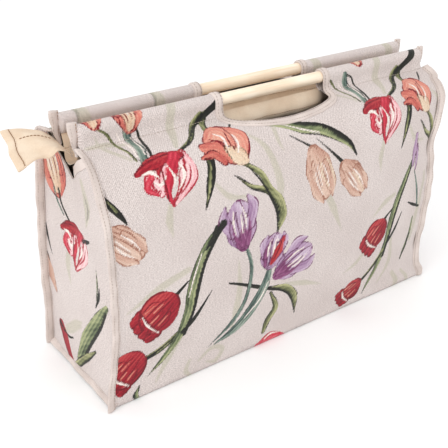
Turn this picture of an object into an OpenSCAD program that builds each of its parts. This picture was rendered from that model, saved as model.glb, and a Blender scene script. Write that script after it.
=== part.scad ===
// Knitting bag: two tapestry sides on a stiffened base, folding gussets between
// them, a wooden dowel handle in a sleeve along the top of each side, and a
// recessed zip closing whose free tail hangs out at the left end.
// X runs along the bag, -Y is the front, Z is up. The origin is the middle of
// the underside. Sections are drawn for the front half as (d, z): d is the
// distance out from the bag's middle plane.

/* [Bag] */
// Length of the bag along the handles
bag_w = 450; // [420:5:480]
// Depth of the bag across its base
base_d = 132; // [124:1:140]
// Height of the shoulder, where each side turns in under its handle
shoulder_z = 256; // [248:1:264]
// How far each side bows out beyond the base
bow = 10; // [4:1:14]

/* [Handles] */
// Diameter of each dowel
dowel_d = 12; // [10:0.5:13]
// Distance between the two dowels, centre to centre
dowel_gap = 34; // [32:1:40]
// Height of the dowels' axes
dowel_z = 271; // [270:0.5:276]
// Length of each dowel
dowel_len = 430; // [400:1:430]
// Length of dowel left bare at the hand notch
grip_w = 130; // [110:2:150]
// How far the hand notch reaches out over the shoulder, from the middle plane
notch_reach = 52; // [44:1:54]

/* [Cloth] */
// Thickness of the tapestry cloth
cloth_t = 1.4; // [1:0.1:1.8]
// Thickness of the lining cloth
lining_t = 0.6; // [0.4:0.1:0.8]
// Width of the binding tape on the seams
tape_w = 9; // [7:0.5:10]
// Thickness of a bound edge
tape_t = 3; // [2.6:0.1:3.4]
// Thickness of the stiffening board in the base
board_t = 2.4; // [1.5:0.1:3]

/* [Gusset] */
// Height of the lowest point of the gusset's folded top edge
gusset_valley_z = 206; // [196:1:212]
// Height of the gusset's top edge at each side
gusset_top_z = 244; // [238:1:246]
// Height of the hem along the gusset's top edge
gusset_hem = 10; // [6:1:12]

/* [Zip] */
// Height of the zip, at the bottom of the trough between the handles
zip_z = 233; // [230:0.5:238]
// Length of the closed teeth
zip_len = 410; // [380:5:420]
// How far the free tail reaches past the left end of the bag
tail_len = 47; // [30:1:60]
// Width of the tail at its root and at its hemmed end
tail_root_w = 54; // [40:1:60]
tail_end_w = 90; // [70:1:96]
// Width of the hem band at the end of the tail
tail_hem = 8; // [6:1:12]

/* [Hidden] */
$fn = 48;

half_w = bag_w / 2;
half_d = base_d / 2;
clear = 0.4;                        // gap kept between parts that move apart
steps = 5;                          // stretches between two points of an outline
face_w = half_w - tape_w;           // half the cloth's width between the bindings
dowel_y = dowel_gap / 2;
bore_r = dowel_d / 2 + clear;       // the sleeve's inside
sleeve_r = bore_r + cloth_t;
tip_z = shoulder_z - 2;             // the stitch line under the dowel
fold_z = cloth_t + board_t;         // the sides start just above the base's edge
gusset_t = cloth_t + lining_t;
gusset_x = half_w - 2;              // outer face of each gusset
hem_t = 3;

// Points that shape a side, from the fold at the base up over the shoulder
side_points = [
    [half_d, fold_z],
    [half_d + 0.1 * bow, 0.12 * shoulder_z],
    [half_d + 0.45 * bow, 0.3 * shoulder_z],
    [half_d + 0.75 * bow, 0.5 * shoulder_z],
    [half_d + bow, 0.72 * shoulder_z],
    [half_d + 0.95 * bow, 0.84 * shoulder_z],
    [half_d + 0.45 * bow, shoulder_z - 20],
    [half_d - 0.6 * bow, shoulder_z - 8.5],
    [half_d - 1.8 * bow, shoulder_z - 3],
    [dowel_y + 14, shoulder_z - 0.6],
    [dowel_y, shoulder_z - 0.5]
];

// A smooth curve through the points p
function bend(a, b, c, d, t) = 0.5 * (2 * b + (c - a) * t + (2 * a - 5 * b + 4 * c - d) * t * t
    + (3 * b - a - 3 * c + d) * t * t * t);
function smooth(p) = let (n = len(p) - 1) concat(
    [for (i = [0 : n - 1], k = [0 : steps - 1])
        bend(p[max(i - 1, 0)], p[i], p[i + 1], p[min(i + 2, n)], k / steps)],
    [p[n]]);
// The curve p moved sideways by off: plus is out of the bag, minus is into it
function aside(p, off) = let (n = len(p) - 1) [for (i = [0 : n])
    let (v = p[min(i + 1, n)] - p[max(i - 1, 0)]) p[i] + off * [v[1], -v[0]] / norm(v)];
function backwards(p) = [for (i = [len(p) - 1 : -1 : 0]) p[i]];
function below(p, top) = [for (q = p) if (q[1] <= top) q];
function beyond(p, d) = [for (q = p) if (q[0] >= d) q];

side_curve = smooth(side_points);

// A layer of cloth that follows the curve p, from inner to outer
module layer(p, inner, outer) {
    polygon(concat(aside(p, outer), backwards(aside(p, inner))));
}

// Stretches a (d, z) section along X, from x0 to x1, on the front half
module along_x(x0, x1) {
    translate([x1, 0, 0]) rotate([90, 0, -90]) linear_extrude(x1 - x0) children();
}

// Outline of the hand notch seen from above, grown by g
module notch_plan(g) {
    half = grip_w / 2 + g;
    reach = notch_reach + g;
    polygon(concat([[half, 0]],
        [for (a = [0 : 7.5 : 180]) [half * cos(a),
            -dowel_y - (reach - dowel_y) * pow(sin(a), 0.8)]],
        [[-half, 0]]));
}
module notch_cut(g) {
    translate([0, 0, shoulder_z - 16]) linear_extrude(60) notch_plan(g);
}

// The sleeve round the dowel, drawn in to its stitch line below
module sleeve_outline(r) {
    drop = dowel_z - tip_z;
    lean = acos(r / drop);          // where its flat flanks leave the round
    turn = (360 - 2 * lean) / 28;
    translate([dowel_y, dowel_z]) polygon(concat(
        [for (a = [lean : turn : 360 - lean + 0.1]) [r * sin(a), -r * cos(a)]],
        [[-cloth_t / 2, -drop], [cloth_t / 2, -drop]]));
}

// ---- base ----
module base_panel() {
    color("antiquewhite") translate([-face_w, -half_d + 2, 0])
        cube([2 * face_w, base_d - 4, cloth_t]);
}
module base_board() {
    color("gray") translate([-face_w + 5, -half_d + 4, cloth_t])
        cube([2 * face_w - 10, base_d - 8, board_t]);
}
module base_lining() {
    color("dimgray") translate([-face_w + 5, -half_d + 4, cloth_t + board_t])
        cube([2 * face_w - 10, base_d - 8, lining_t]);
}
module base_binding() {
    color("tan") translate([-half_w, -half_d + 2, 0])
        cube([tape_w, base_d - 4, tape_w]);
}
module left_base_binding() {
    difference() {
        base_binding();
        translate([-half_w + tape_t, -half_d, cloth_t + board_t + lining_t])
            cube([tape_w, base_d, tape_w]);
        translate([-face_w - 0.01, -half_d, -1]) cube([tape_w, base_d, 40]);
    }
}
module right_base_binding() { mirror([1, 0, 0]) left_base_binding(); }

// ---- gussets ----
// Half of a gusset's outline, its top edge dropped by drop
function gusset_edge(drop) = concat(
    below(aside(side_curve, -tape_t / 2 - clear), gusset_top_z - drop),
    [[0, gusset_valley_z - drop]]);
module gusset_half(drop, foot) {
    intersection() {
        polygon(concat([[0, 0]], [[half_d - 3, 0]], gusset_edge(drop)));
        translate([0, foot]) square([2 * half_d, 400]);
    }
}
module gusset_outline(drop) {
    gusset_half(drop, tape_w);
    mirror([1, 0]) gusset_half(drop, tape_w);
}
module left_gusset() {
    color("antiquewhite") along_x(-gusset_x, -gusset_x + cloth_t) gusset_outline(gusset_hem);
}
module left_gusset_lining() {
    color("dimgray") along_x(-gusset_x + cloth_t, -gusset_x + gusset_t)
        gusset_outline(gusset_hem);
}
module left_gusset_hem() {
    color("tan") along_x(-gusset_x - 0.5, -gusset_x - 0.5 + hem_t) difference() {
        gusset_outline(0);
        gusset_outline(gusset_hem);
    }
}
module right_gusset() { mirror([1, 0, 0]) left_gusset(); }
module right_gusset_lining() { mirror([1, 0, 0]) left_gusset_lining(); }
module right_gusset_hem() { mirror([1, 0, 0]) left_gusset_hem(); }

// ---- one side: cloth, lining, bindings, dowel ----
module front_panel() {
    color("antiquewhite") difference() {
        along_x(-face_w, face_w) difference() {
            union() {
                layer(side_curve, -cloth_t / 2, cloth_t / 2);
                sleeve_outline(sleeve_r);
            }
            translate([dowel_y, dowel_z]) circle(bore_r);
        }
        notch_cut(tape_w);
    }
}
module front_lining() {
    color("dimgray") difference() {
        along_x(-face_w, face_w) layer(beyond(side_curve, dowel_y + 3),
            -cloth_t / 2 - lining_t, -cloth_t / 2);
        notch_cut(tape_w);
    }
}
module front_notch_binding() {
    color("tan") difference() {
        along_x(-face_w, face_w) difference() {
            union() {
                layer(side_curve, -tape_t / 2, tape_t / 2);
                sleeve_outline(sleeve_r + 0.6);
            }
            translate([dowel_y, dowel_z]) circle(bore_r);
        }
        notch_cut(0);
        difference() {
            translate([0, 0, 150]) cube([2 * bag_w, 2 * bag_w, 300], center = true);
            notch_cut(tape_w);
        }
    }
}
module front_left_seam_binding() {
    color("tan") along_x(-half_w, -face_w) difference() {
        layer(beyond(side_curve, dowel_y + 2), -tape_t / 2, tape_t / 2);
        sleeve_outline(sleeve_r + 0.6);
    }
}
module front_right_seam_binding() { mirror([1, 0, 0]) front_left_seam_binding(); }
module front_left_end_binding() {
    color("tan") along_x(-half_w, -face_w) sleeve_outline(sleeve_r + 0.6);
}
module front_right_end_binding() { mirror([1, 0, 0]) front_left_end_binding(); }
module front_dowel() {
    color("burlywood") translate([0, -dowel_y, dowel_z]) rotate([0, 90, 0])
        cylinder(d = dowel_d, h = dowel_len, center = true);
}

module back_panel() { mirror([0, 1, 0]) front_panel(); }
module back_lining() { mirror([0, 1, 0]) front_lining(); }
module back_notch_binding() { mirror([0, 1, 0]) front_notch_binding(); }
module back_left_seam_binding() { mirror([0, 1, 0]) front_left_seam_binding(); }
module back_right_seam_binding() { mirror([0, 1, 0]) front_right_seam_binding(); }
module back_left_end_binding() { mirror([0, 1, 0]) front_left_end_binding(); }
module back_right_end_binding() { mirror([0, 1, 0]) front_right_end_binding(); }
module back_dowel() { mirror([0, 1, 0]) front_dowel(); }

// ---- zip closing ----
strip_t = 1.2;                      // thickness of the strip of cloth beside the zip
coil_in = 0.8;                      // the teeth start this far from the middle plane
coil_out = 3;
tape_out = 9;                       // outer edge of the woven zip tape
coil_t = 2;
// The strip hangs from under the sleeve and turns in to the zip
strip_curve = smooth([[dowel_y - 2.6, tip_z - 1.6], [dowel_y - 3, zip_z + 13],
    [dowel_y - 4, zip_z + 5], [tape_out + 2, zip_z + 0.6], [tape_out, zip_z]]);
module front_zip_cloth() {
    color("cornsilk") along_x(-face_w, face_w)
        layer(strip_curve, -strip_t / 2, strip_t / 2);
}
module front_zip_tape() {
    color("wheat") along_x(-zip_len / 2 - 10, zip_len / 2 + 10)
        translate([coil_out, zip_z - strip_t / 2])
            square([tape_out - strip_t - coil_out, strip_t]);
}
module front_zip_coil() {
    color("beige") along_x(-zip_len / 2, zip_len / 2)
        translate([coil_in, zip_z - coil_t / 2]) square([coil_out - coil_in, coil_t]);
}
module back_zip_cloth() { mirror([0, 1, 0]) front_zip_cloth(); }
module back_zip_tape() { mirror([0, 1, 0]) front_zip_tape(); }
module back_zip_coil() { mirror([0, 1, 0]) front_zip_coil(); }

// Metal stops crimped on the back tape past both ends of the teeth
stop_l = 3;
module zip_stops() {
    color("silver") for (x = [-zip_len / 2 - stop_l, zip_len / 2])
        translate([x, coil_in, zip_z - 1.6]) cube([stop_l, coil_out - coil_in, 3.2]);
}

// The slider: two plates joined by a thin wedge that runs between the teeth
slider_l = 11;
slider_w = 9;
slider_x = zip_len / 2 - 16;        // the slider's middle when the bag is shut
plate_t = 1;
plate_gap = coil_t + 2 * clear;
plate_top = zip_z + plate_gap / 2 + plate_t;
bridge_l = 8;
bridge_h = 3.6;
wire = 1.2;                         // thickness of the bridge, the wedge and the pull
module zip_slider() {
    color("silver") translate([slider_x, 0, zip_z]) {
        for (s = [-1, 1]) translate([-slider_l / 2, -slider_w / 2,
            s * (plate_gap + plate_t) / 2 - plate_t / 2])
                cube([slider_l, slider_w, plate_t]);
        translate([slider_l / 2 - 3, -0.4, -plate_gap / 2]) cube([3, 0.8, plate_gap]);
        translate([-bridge_l / 2, -wire / 2, plate_gap / 2 + plate_t]) difference() {
            cube([bridge_l, wire, bridge_h]);
            translate([wire, -1, 0])
                cube([bridge_l - 2 * wire, wire + 2, bridge_h - wire]);
        }
    }
}
// The pull's end bar passes under the bridge; its eye goes round the bridge's leg
pull_l = 24;
pull_w = 6;
eye_l = 3;
pull_x = slider_x - bridge_l / 2 + wire + 1;
module zip_pull() {
    color("silver") translate([pull_x, 0, plate_top + wire / 2]) linear_extrude(wire)
        difference() {
            union() {
                translate([-pull_l + wire / 2, -pull_w / 2]) square([pull_l, pull_w]);
                translate([-pull_l + wire / 2, 0]) circle(d = pull_w);
            }
            translate([-wire / 2 - eye_l, -1.5]) square([eye_l, 3]);
            translate([-pull_l, 0]) circle(d = 2.6);
        }
}

// The free tail: strips and tape run on past the left end, and a hem closes them
tail_z = tip_z - 1;
tail_root_x = -half_w - 1;
module tail_plan(x0, x1) {
    function wide(x) = (tail_root_w + (tail_end_w - tail_root_w)
        * (tail_root_x - x) / tail_len) / 2;
    polygon([[x0, -wide(x0)], [x1, -wide(x1)], [x1, wide(x1)], [x0, wide(x0)]]);
}
module zip_tail() {
    color("cornsilk") translate([0, 0, tail_z]) linear_extrude(2)
        tail_plan(tail_root_x - tail_len + tail_hem, tail_root_x);
}
module zip_tail_hem() {
    color("cornsilk") translate([0, 0, tail_z - 0.4]) linear_extrude(2.8)
        tail_plan(tail_root_x - tail_len, tail_root_x - tail_len + tail_hem);
}

base_panel();
base_board();
base_lining();
left_gusset();
right_gusset();
left_gusset_lining();
right_gusset_lining();
left_gusset_hem();
right_gusset_hem();
left_base_binding();
right_base_binding();
front_panel();
front_lining();
front_dowel();
front_notch_binding();
front_left_seam_binding();
front_right_seam_binding();
front_left_end_binding();
front_right_end_binding();
front_zip_cloth();
front_zip_tape();
front_zip_coil();
back_panel();
back_lining();
back_dowel();
back_notch_binding();
back_left_seam_binding();
back_right_seam_binding();
back_left_end_binding();
back_right_end_binding();
back_zip_cloth();
back_zip_tape();
back_zip_coil();
zip_stops();
zip_slider();
zip_pull();
zip_tail();
zip_tail_hem();
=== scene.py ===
import math

import bpy
import numpy as np
from mathutils import Matrix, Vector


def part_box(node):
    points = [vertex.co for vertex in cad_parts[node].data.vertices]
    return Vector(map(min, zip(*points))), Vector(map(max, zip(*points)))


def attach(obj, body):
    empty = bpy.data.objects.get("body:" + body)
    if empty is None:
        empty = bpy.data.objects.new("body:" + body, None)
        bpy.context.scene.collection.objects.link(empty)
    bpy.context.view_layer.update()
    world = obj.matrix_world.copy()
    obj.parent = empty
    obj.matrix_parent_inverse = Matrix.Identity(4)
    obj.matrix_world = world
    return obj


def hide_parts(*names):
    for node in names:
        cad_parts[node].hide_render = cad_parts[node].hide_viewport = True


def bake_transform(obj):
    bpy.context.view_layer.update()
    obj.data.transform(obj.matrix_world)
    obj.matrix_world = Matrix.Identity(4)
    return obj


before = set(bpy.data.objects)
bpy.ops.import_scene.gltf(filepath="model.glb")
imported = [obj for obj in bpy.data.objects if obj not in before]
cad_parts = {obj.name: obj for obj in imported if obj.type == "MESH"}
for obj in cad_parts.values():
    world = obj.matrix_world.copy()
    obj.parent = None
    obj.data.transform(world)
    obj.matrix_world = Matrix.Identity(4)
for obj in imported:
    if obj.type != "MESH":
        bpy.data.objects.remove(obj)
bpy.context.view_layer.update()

# ---------------------------------------------------------------- sizes, in millimetres, from the frame
MM = 0.001
CLOTH = "cloth"  # the map that holds a cloth's own flat coordinates


def corners(node):
    """A CAD node's lowest and highest corner, in millimetres."""
    low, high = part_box(node)
    return np.array(low) / MM, np.array(high) / MM


half = corners("front_right_end_binding")[1][0]
cloth_half = corners("front_panel")[1][0]
tape = half - cloth_half
dowel_low, dowel_high = corners("front_dowel")
dowel_y, dowel_z = -(dowel_low[1] + dowel_high[1]) / 2, (dowel_low[2] + dowel_high[2]) / 2
dowel_r, dowel_half = (dowel_high[2] - dowel_low[2]) / 2, dowel_high[0]
half_d = corners("base_panel")[1][1] + 2
fold_z = corners("base_board")[1][2]
grip_half = corners("front_notch_binding")[1][0] - tape
notch_reach = -corners("front_notch_binding")[0][1] - tape
zip_low, zip_high = corners("front_zip_coil")
zip_z = (zip_low[2] + zip_high[2]) / 2
valley_z = corners("left_gusset_hem")[0][2] + 20
seam_half = cloth_half + 2  # where the panels' seam line runs
tape_t = 2.6


# ---------------------------------------------------------------- curves
class Path:
    """A smooth open curve through points, followed by its length."""

    def __init__(self, points, steps=24):
        p = np.array(points, float)
        q = np.vstack([2 * p[0] - p[1], p, 2 * p[-1] - p[-2]])
        t = np.linspace(0, 1, steps, endpoint=False)[:, None]
        runs = [
            0.5 * (2 * b + (c - a) * t + (2 * a - 5 * b + 4 * c - d) * t**2 + (3 * b - a - 3 * c + d) * t**3)
            for a, b, c, d in zip(q, q[1:], q[2:], q[3:])
        ]
        self.steps = steps
        self.points = np.vstack(runs + [p[-1:]])
        self.reach = np.concatenate([[0], np.cumsum(np.linalg.norm(np.diff(self.points, axis=0), axis=1))])
        self.length = self.reach[-1]

    def at(self, s):
        """The point at length s; s may be an array."""
        s = np.asarray(s, float)
        return np.stack([
            np.interp(s, self.reach, self.points[:, k]) for k in range(self.points.shape[1])
        ], -1)

    def along(self, s):
        """The unit direction at length s."""
        d = self.at(np.clip(s + 0.6, 0, self.length)) - self.at(np.clip(s - 0.6, 0, self.length))
        return d / np.linalg.norm(d, axis=-1, keepdims=True)

    def length_of(self, index):
        """The length at one of the points that the curve was made from."""
        return self.reach[index * self.steps]


def smooth(t):
    t = np.clip(t, 0, 1)
    return t * t * (3 - 2 * t)


# A side of the bag seen end on, as (distance from the middle, height): half of the base, the fold, the
# wall, the shoulder and the sleeve round the dowel, which ends in a hem under the shoulder.
SLEEVE_R = dowel_r + 1.1
BASE = [(0, 0.9), (half_d - 26, 0.9), (half_d - 4, 1.0), (half_d, fold_z)]
WALL = [(67, 30.7), (70.5, 76.8), (73.5, 128), (76, 184.3), (75.5, 215), (70.5, 236), (60, 247.5), (48, 253)]
SHOULDER = [(36, 255.6), (28, 257.5), (24.6, 262.5)]
turns = np.radians(np.arange(0, 181, 30))
AROUND = [(dowel_y + SLEEVE_R * math.cos(a), dowel_z + SLEEVE_R * math.sin(a)) for a in turns]
HEM = [(11.5, 264), (16.5, 258.3), (23, 255.6), (32, 253.6)]
side = Path(BASE + WALL + SHOULDER + AROUND + HEM)
s_fold = side.length_of(len(BASE) - 1)
s_foot = side.length_of(len(BASE + WALL) + 1) - s_fold  # foot of the sleeve
s_end = side.length - s_fold

# How far from the middle each side seam runs at each height, keyed by end (-1 is the left one) and face.
SEAM_POINTS = {
    (-1, -1): [
        (0, 220), (20, 219), (46, 215.5), (81, 213), (116, 213.5),
        (183, 217), (206, 219), (238, 222), (252, 219), (259, 217),
    ],
    (-1, 1): [(0, 218), (55, 216), (114, 215), (169, 212), (211, 209), (240, 210), (252, 214), (259, 216.5)],
    (1, -1): [
        (0, 216), (7, 213), (20, 205), (46, 200), (90, 198), (147, 196),
        (184, 188), (209, 192), (225, 197), (250, 207), (259, 216),
    ],
    (1, 1): [(0, 217), (46, 212), (114, 209), (169, 208), (211, 208), (240, 210), (252, 214), (259, 216.5)],
}
SEAMS = {
    key: Path([(-40, points[0][1])] + points + [(300, 217)]).points for key, points in SEAM_POINTS.items()
}


def seam_x(z, sign, face):
    """How far from the middle a seam runs at height z."""
    return np.interp(z, SEAMS[sign, face][:, 0], SEAMS[sign, face][:, 1])


def ripple(x, s, face):
    """How far the cloth of a side stands proud of its plain shape."""
    edge = np.clip(np.abs(x) / cloth_half, 0, 1)
    wall = smooth(s / 60) * smooth((s_foot + 5 - s) / 60)
    belly = 4.5 * (1 - edge**2) * wall - 1.5 * edge**6 * wall
    waves = 1.3 * np.sin(x / 43 + s / 61 + face) * np.sin(s / 57 + x / 160 + 0.4) * wall
    lean = (
        0.7 * np.sin(x / 17.0 + 1.3 * np.sin(s / 40) + 2 * face)
        * smooth((s - 150) / 90) * smooth((s_foot - s) / 30)
    )
    pucker = 0.45 * np.sin(s / 5.2 + 1.1 * np.sin(s / 21)) * edge**14 * wall
    gather = 0.55 * np.sin(x / 3.7 + 1.5 * np.sin(x / 23)) * np.exp(-(((s - s_foot + 4) / 9) ** 2))
    foot = 0.9 * np.sin(x / 12.5 + 0.8 * np.sin(x / 31)) * np.exp(-((s - 9) / 13) ** 2) * (s > 0)
    return belly + waves + lean + pucker + gather + foot


def skin(x, s, face, lift=0.0):
    """Points of the front (face -1) or back (face 1) cloth at x across and s up from the fold,
    lifted off the cloth by lift."""
    x, s, lift = np.broadcast_arrays(np.asarray(x, float), np.asarray(s, float), np.asarray(lift, float))
    at = side.at(s + s_fold)
    run = side.along(s + s_fold)
    d, z = at[..., 0], at[..., 1]
    out_d, out_z = run[..., 1], -run[..., 0]
    # the sleeve is pressed flat at its ends
    flat = smooth((np.abs(x) - dowel_half - 1.2) / (seam_half - dowel_half - 1.2)) * smooth((s - s_foot) / 4)
    u = np.clip((s - s_foot) / (s_end - 9 - s_foot), 0, 1)
    high = dowel_z + SLEEVE_R + 1.0
    tent = 258 + (high - 258) * (1 - np.abs(2 * u - 1))
    d = d + flat * (dowel_y + np.where(u < 0.5, 0.7, -0.7) - d)
    z = z + flat * (tent - z)
    proud = ripple(x, s, face) + lift
    d, z = d + out_d * proud, z + out_z * proud
    edge = np.clip(np.abs(x) / seam_half, 0, 1.2)
    seam = np.where(x > 0, seam_x(z, 1, face), seam_x(z, -1, face))
    x = x - np.sign(x) * (seam_half - seam) * edge**3
    return np.stack([x, face * d, z], -1)


# ---------------------------------------------------------------- meshes
def mesh_piece(name, verts, faces, uv=None, smooth_faces=True):
    """An object in the frame from points in millimetres. uv, if given, has each point's own flat place."""
    data = bpy.data.meshes.new(name)
    verts = np.asarray(verts, float).reshape(-1, 3) * MM
    data.from_pydata(verts.tolist(), [], faces.tolist() if isinstance(faces, np.ndarray) else faces)
    data.validate()
    if uv is not None:
        layer = data.uv_layers.new(name=CLOTH)
        index = np.zeros(len(data.loops), int)
        data.loops.foreach_get("vertex_index", index)
        layer.data.foreach_set("uv", (np.asarray(uv, float).reshape(-1, 2) * MM)[index].ravel())
    data.polygons.foreach_set("use_smooth", [smooth_faces] * len(data.polygons))
    data.update()
    piece = bpy.data.objects.new(name, data)
    bpy.context.scene.collection.objects.link(piece)
    return piece


def quads(rows, cols, keep=None, around=False, flip=False):
    """The faces of a grid of points, row by row; around closes each row into a ring."""
    r, c = np.meshgrid(np.arange(rows - 1), np.arange(cols if around else cols - 1), indexing="ij")
    n = (c + 1) % cols
    faces = np.stack([r * cols + c, r * cols + n, (r + 1) * cols + n, (r + 1) * cols + c], -1)
    faces = faces.reshape(-1, 4) if keep is None else faces[keep(r, c)]
    return faces[:, ::-1] if flip else faces


def grid_piece(name, points, uv=None, keep=None, flip=False, paint=None):
    """A sheet from a grid of points, row by row; paint, if given, weaves its picture into it."""
    rows, cols = points.shape[:2]
    faces = quads(rows, cols, keep, flip=flip)
    used, faces = np.unique(faces, return_inverse=True)
    uv = None if uv is None else np.asarray(uv, float).reshape(-1, 2)[used]
    piece = mesh_piece(name, points.reshape(-1, 3)[used], faces.reshape(-1, 4), uv)
    if paint:
        picture = Picture(uv)
        paint(picture)
        picture.write(piece)
    return piece


def finish_piece(piece, material, body=None, replaces=(), bend=None):
    """Material, the CAD nodes it stands for, and the body it rides on; a piece given bend is fixed in place
    instead.
    """
    piece.data.materials.clear()
    piece.data.materials.append(material)
    if replaces:
        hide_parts(*replaces)
    if bend:
        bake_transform(piece)
    else:
        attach(piece, body)
    return piece


def thicken(piece, thick):
    solid = piece.modifiers.new("thickness", "SOLIDIFY")
    solid.thickness = thick * MM
    solid.offset = 0
    return piece


# ---------------------------------------------------------------- the woven picture
def tone(*srgb):
    """A colour in linear light from its 0 to 255 values."""
    c = np.array(srgb) / 255
    return np.where(c <= 0.04045, c / 12.92, ((c + 0.055) / 1.055) ** 2.4)


# each palette runs from dark through middle to light
RED = [tone(88, 12, 26), tone(164, 28, 44), tone(206, 84, 80)]
ROSE = [tone(150, 20, 42), tone(206, 52, 72), tone(232, 142, 150)]
BLUSH = [tone(214, 96, 112), tone(238, 196, 198), tone(244, 230, 224)]
CORAL = [tone(174, 66, 64), tone(212, 124, 108), tone(230, 178, 156)]
CREAM = [tone(186, 128, 102), tone(216, 184, 156), tone(230, 212, 188)]
PEACH = [tone(176, 128, 110), tone(206, 168, 150), tone(226, 200, 182)]
UMBER = [tone(146, 96, 78), tone(168, 120, 98), tone(196, 156, 132)]
LILAC = [tone(128, 84, 128), tone(180, 150, 178), tone(214, 198, 212)]
PLUM = [tone(78, 28, 66), tone(134, 68, 112), tone(180, 128, 164)]
LEAF = [tone(30, 36, 28), tone(104, 116, 82), tone(168, 172, 128)]
OLIVE = [tone(34, 36, 24), tone(116, 120, 80), tone(180, 178, 132)]
TEAL = [tone(36, 52, 52), tone(98, 118, 108), tone(158, 170, 156)]
INK = [tone(20, 20, 18), tone(30, 30, 26), tone(56, 58, 46)]
PALE = [tone(172, 170, 146), tone(184, 180, 156), tone(200, 194, 174)]
WHITE = [tone(232, 218, 208), tone(238, 226, 218), tone(244, 236, 230)]


def blend_tones(palette, value):
    """Colours at value 0 to 1 along a palette's three tones."""
    v = np.clip(value, 0, 1)[:, None]
    dark, middle, light = palette
    return np.where(v < 0.5, dark + (middle - dark) * v * 2, middle + (light - middle) * (v * 2 - 1))


class Picture:
    """What is woven into one piece of cloth, stroke by stroke, at its points' flat places in mm.

    Each layer holds how far inside its strokes a point is, and the colour there."""

    LAYERS = ("ghost", "fill", "line")

    def __init__(self, flat):
        self.flat = np.asarray(flat, float).reshape(-1, 2)
        self.depth = {k: np.full(len(self.flat), -6.0) for k in self.LAYERS}
        self.tones = {k: np.full((len(self.flat), 3), 0.5) for k in self.LAYERS}
        self.shift = np.zeros(2)
        self.mirror = np.ones(2)

    def stroke(self, points, widths, palette, layer="fill", lean=0.15, rim=0.0, rim_palette=None, grain=0.22,
               mid=0.5, fade=0.0):
        """A brush stroke through points, widths wide: it darkens to one side by lean and pales along its
        way by fade, and a rim line may follow its edge."""
        curve = Path(np.array(points, float) * self.mirror + self.shift, steps=max(6, int(60 / len(points))))
        w = np.interp(np.linspace(0, 1, len(curve.points)), np.linspace(0, 1, len(widths)), widths) / 2
        w_max = max(widths) / 2 + 4
        low, high = curve.points.min(0) - w_max, curve.points.max(0) + w_max
        near = np.flatnonzero(np.all((self.flat > low) & (self.flat < high), axis=1))
        if not len(near):
            return
        gap = self.flat[near][:, None] - curve.points[None]
        inside = w - np.linalg.norm(gap, axis=2)
        best = np.argmax(inside, axis=1)
        rows = np.arange(len(near))
        inside = inside[rows, best]
        run = np.gradient(curve.points, axis=0)
        run /= np.linalg.norm(run, axis=1, keepdims=True) + 1e-9
        across = (gap[rows, best] * (run[best] @ np.array([[0, -1], [1, 0]]))).sum(1)
        t = best / (len(curve.points) - 1)
        sideways = np.clip(across / np.maximum(w[best], 0.6), -1, 1)
        seed = float(np.sum(np.array(points[0]))) * 0.37
        streak = 0.6 * np.sin(across * 1.5 + seed + 1.6 * np.sin(t * 5 + seed))
        way = t * curve.length
        streak = streak + 0.6 * np.sin(across * 0.7 + way * 0.4 + seed) * np.cos(way * 0.23 + across * 0.5)
        value = mid + lean * sideways + grain * streak + fade * (t - 0.5)
        self.lay(layer, near, inside, blend_tones(palette, value))
        if rim:
            wobble = rim * (0.75 + 0.45 * np.sin(t * 9 + seed) * np.sign(sideways))
            self.lay("line", near, wobble - np.abs(inside), blend_tones(rim_palette or palette, value * 0.3))
            self.erase("line", near, inside - 1.2)

    def lay(self, layer, near, inside, colours):
        depth = self.depth[layer]
        take = (inside > 0) | (inside > depth[near])
        at = near[take]
        depth[at] = np.maximum(depth[at], inside[take])
        self.tones[layer][at] = colours[take]

    def erase(self, layer, near, inside):
        """Takes away what an earlier stroke left under the middle of a new one."""
        depth = self.depth[layer]
        depth[near] = np.minimum(depth[near], np.maximum(-inside, -6))

    def write(self, piece):
        for layer in self.LAYERS:
            depth = piece.data.attributes.new(layer, "FLOAT", "POINT")
            depth.data.foreach_set("value", self.depth[layer].astype(np.float32))
            colour = piece.data.attributes.new(layer + "_tone", "FLOAT_COLOR", "POINT")
            rgba = np.hstack([self.tones[layer], np.ones((len(self.flat), 1))])
            colour.data.foreach_set("color", rgba.astype(np.float32).ravel())


# ---- strokes that the motifs share
def stem(p, points, widths, palette=LEAF, **more):
    p.stroke(points, widths, palette, lean=-0.4, rim=0.35, rim_palette=INK, grain=0.42, **more)


def leaf(p, points, widths, palette=LEAF, dark=-0.6):
    p.stroke(points, widths, palette, lean=dark, rim=0.75, rim_palette=INK, mid=0.52, grain=0.36)


def twig(p, points, widths):
    p.stroke(points, widths, INK, grain=0.2)


def ghost(p, points, widths):
    p.stroke(points, widths, PALE, layer="ghost")


def petal(p, points, widths, palette, rim=0.7, rim_palette=None, **more):
    p.stroke(points, widths, palette, rim=rim, rim_palette=rim_palette, **more)


def light_line(p, points, width=1.6):
    p.stroke(points, [1.4, width + 0.7, 1.4], WHITE, layer="line", grain=0.1)


def dark_line(p, points, palette, width=1.5):
    p.stroke(points, [1.3, width + 0.6, 1.3], palette, layer="line", grain=0.1, mid=0.12)


def along(start, end):
    """A call that turns (part of the way, sideways in mm) between two points into points on the cloth."""
    start, end = np.array(start, float), np.array(end, float)
    way = end - start
    over = np.array([way[1], -way[0]]) / np.hypot(*way)
    return lambda *places: [tuple(start + way * u + over * v) for u, v in places]


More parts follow.
